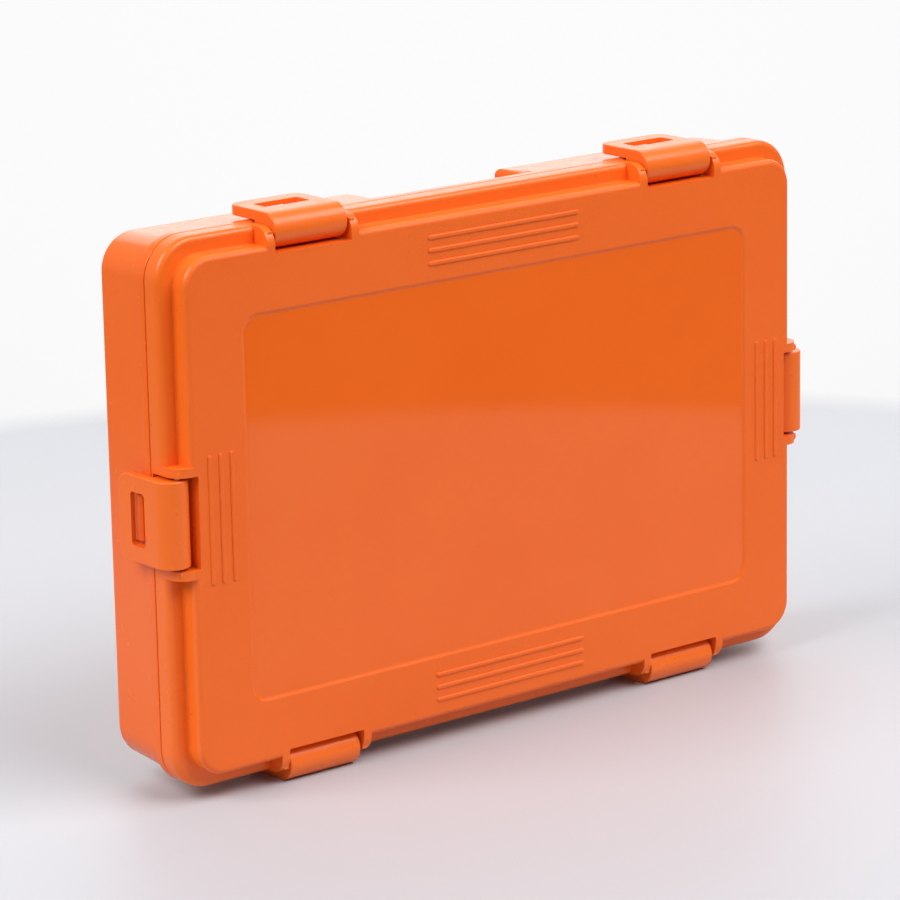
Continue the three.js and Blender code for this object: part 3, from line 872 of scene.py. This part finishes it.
def build_kit():
    build_roll("crepe_bandage", CREPE, 60, 2000, 0.4)
    build_roll("gauze_bandage_1", GAUZE, 60, 4000, 2.1)
    build_roll("gauze_bandage_2", GAUZE, 60, 4000, 3.6)
    build_cloth("triangular_bandage", 80)
    for i in range(3):
        build_packet(f"wound_dressing_{i + 1}", POUCH, 6, 16, 1.3 * i)
        build_packet(f"wipe_sachet_{i + 1}", SACHET, 5, 9, 7 + 1.9 * i)
    build_packet("glove_packet", GLOVES, 4, 12, 13, 0.2)
    build_packet("rescue_blanket", FOIL, 5, 14, 17, 0.16)
    build_shears()
    build_tweezers()
    dress_node("inner_tray", TRAY_PLASTIC)
    dress_node("plaster_box", CARD)
    dress_node("tape_roll", TAPE)


# --- Camera, stage and light -------------------------------------------------------------------

LIT_POINT = Vector((0, 0, 0.1))


def build_camera():
    data = bpy.data.cameras.new("camera")
    data.lens = 167
    data.sensor_width = 36
    camera = bpy.data.objects.new("camera", data)
    bpy.context.scene.collection.objects.link(camera)
    place = Vector((-0.8935, -1.1053, 0.4538))
    aim = Vector((-0.0079, 0, 0.0974))
    camera.location = place
    camera.rotation_mode = "QUATERNION"
    lean = Quaternion((0, 0, 1), math.radians(-1.11))
    camera.rotation_quaternion = (aim - place).to_track_quat("-Z", "Y") @ lean
    bpy.context.scene.camera = camera


# The studio's brightness as (position, level), from behind the camera at 0 to behind the object at 1.
STUDIO = [(0.2, 0.06), (0.45, 0.16), (0.75, 0.3), (0.9, 0.9), (1.0, 0.97)]
CAMERA_HEADING = (0.625, 0.78, 0)


def studio_level(surface, direction):
    """How bright the studio is in a horizontal direction: white behind the object, dim behind the camera."""
    tree = surface.tree
    facing = tree.nodes.new("ShaderNodeVectorMath")
    facing.operation = "DOT_PRODUCT"
    facing.inputs[1].default_value = CAMERA_HEADING
    surface.link(direction, facing.inputs[0])
    ramp = tree.nodes.new("ShaderNodeValToRGB")
    surface.link(surface.between(facing.outputs["Value"], 0, 1, -1, 1), ramp.inputs["Fac"])
    stops = ramp.color_ramp.elements
    stops[0].position, stops[0].color = STUDIO[0][0], (*[STUDIO[0][1]] * 3, 1)
    stops[1].position, stops[1].color = STUDIO[-1][0], (*[STUDIO[-1][1]] * 3, 1)
    for position, level in STUDIO[1:-1]:
        stops.new(position).color = (level, level, level, 1)
    return ramp.outputs["Color"]


def build_stage():
    """A round pale table top in a studio that is white behind the object; beyond the table the floor glows
    with painted studio light, white behind the object and dim behind the camera.
    """
    size, table = 6.0, 0.49
    corners = [(-size, -size, 0), (size, -size, 0), (size, size, 0), (-size, size, 0)]
    floor = new_object("floor", corners, [(0, 1, 2, 3)])
    surface = Surface("table_and_painted_studio_glow", 0.5)
    tree = surface.tree
    surface.colours(surface.noise(3, 2), (0.49, 0.495, 0.525), (0.51, 0.515, 0.545))
    length = tree.nodes.new("ShaderNodeVectorMath")
    length.operation = "LENGTH"
    surface.link(surface.place, length.inputs[0])
    direction = tree.nodes.new("ShaderNodeVectorMath")
    direction.operation = "NORMALIZE"
    surface.link(surface.place, direction.inputs[0])
    # Beyond the table the floor glows as painted studio light: white behind the object, dim behind the
    # camera.
    glow = tree.nodes.new("ShaderNodeEmission")
    surface.link(studio_level(surface, direction.outputs["Vector"]), glow.inputs["Color"])
    mix = tree.nodes.new("ShaderNodeMixShader")
    away = surface.between(length.outputs["Value"], 0, 1, table - 0.015, table + 0.02)
    surface.link(away, mix.inputs["Fac"])
    surface.link(surface.shader.outputs["BSDF"], mix.inputs[1])
    surface.link(glow.outputs["Emission"], mix.inputs[2])
    surface.link(mix.outputs["Shader"], tree.nodes["Material Output"].inputs["Surface"])
    floor.data.materials.append(surface.material)


def build_world():
    """Soft studio light from all round."""
    world = bpy.data.worlds.new("studio")
    bpy.context.scene.world = world
    world.use_nodes = True
    tree = world.node_tree
    background = tree.nodes["Background"]
    place = tree.nodes.new("ShaderNodeTexCoord")
    split = tree.nodes.new("ShaderNodeSeparateXYZ")
    tree.links.new(place.outputs["Generated"], split.inputs["Vector"])
    level = tree.nodes.new("ShaderNodeMapRange")
    for socket, value in zip(("From Min", "From Max", "To Min", "To Max"), (-0.9, 0.9, 0.16, 0.45)):
        level.inputs[socket].default_value = value
    tree.links.new(split.outputs["Y"], level.inputs["Value"])
    background.inputs["Color"].default_value = (0.965, 0.975, 1, 1)
    tree.links.new(level.outputs["Result"], background.inputs["Strength"])


def area_light(name, place, width, height, power):
    """A white rectangular light turned to the middle of the case."""
    data = bpy.data.lights.new(name, "AREA")
    data.shape = "RECTANGLE"
    data.size = width
    data.size_y = height
    data.energy = power
    light = bpy.data.objects.new(name, data)
    bpy.context.scene.collection.objects.link(light)
    light.location = place
    light.rotation_mode = "QUATERNION"
    light.rotation_quaternion = (LIT_POINT - Vector(place)).to_track_quat("-Z", "Y")


def build_lights():
    area_light("front_softbox", (0.55, -1.1, 1.6), 1.8, 1.0, 38)
    area_light("left_softbox", (-1.4, 0.1, 1.3), 1.2, 1.0, 26)
    area_light("back_softbox", (1.0, 1.25, 0.85), 2.2, 1.3, 13)


build_camera()
build_stage()
build_world()
build_lights()
bpy.context.scene.view_settings.view_transform = "Standard"

build_lid()
build_body()
for latch_name, latch_place in LATCHES.items():
    build_latch(latch_name, latch_place)
    build_pin(latch_name, latch_place)
build_gasket()
build_kit()
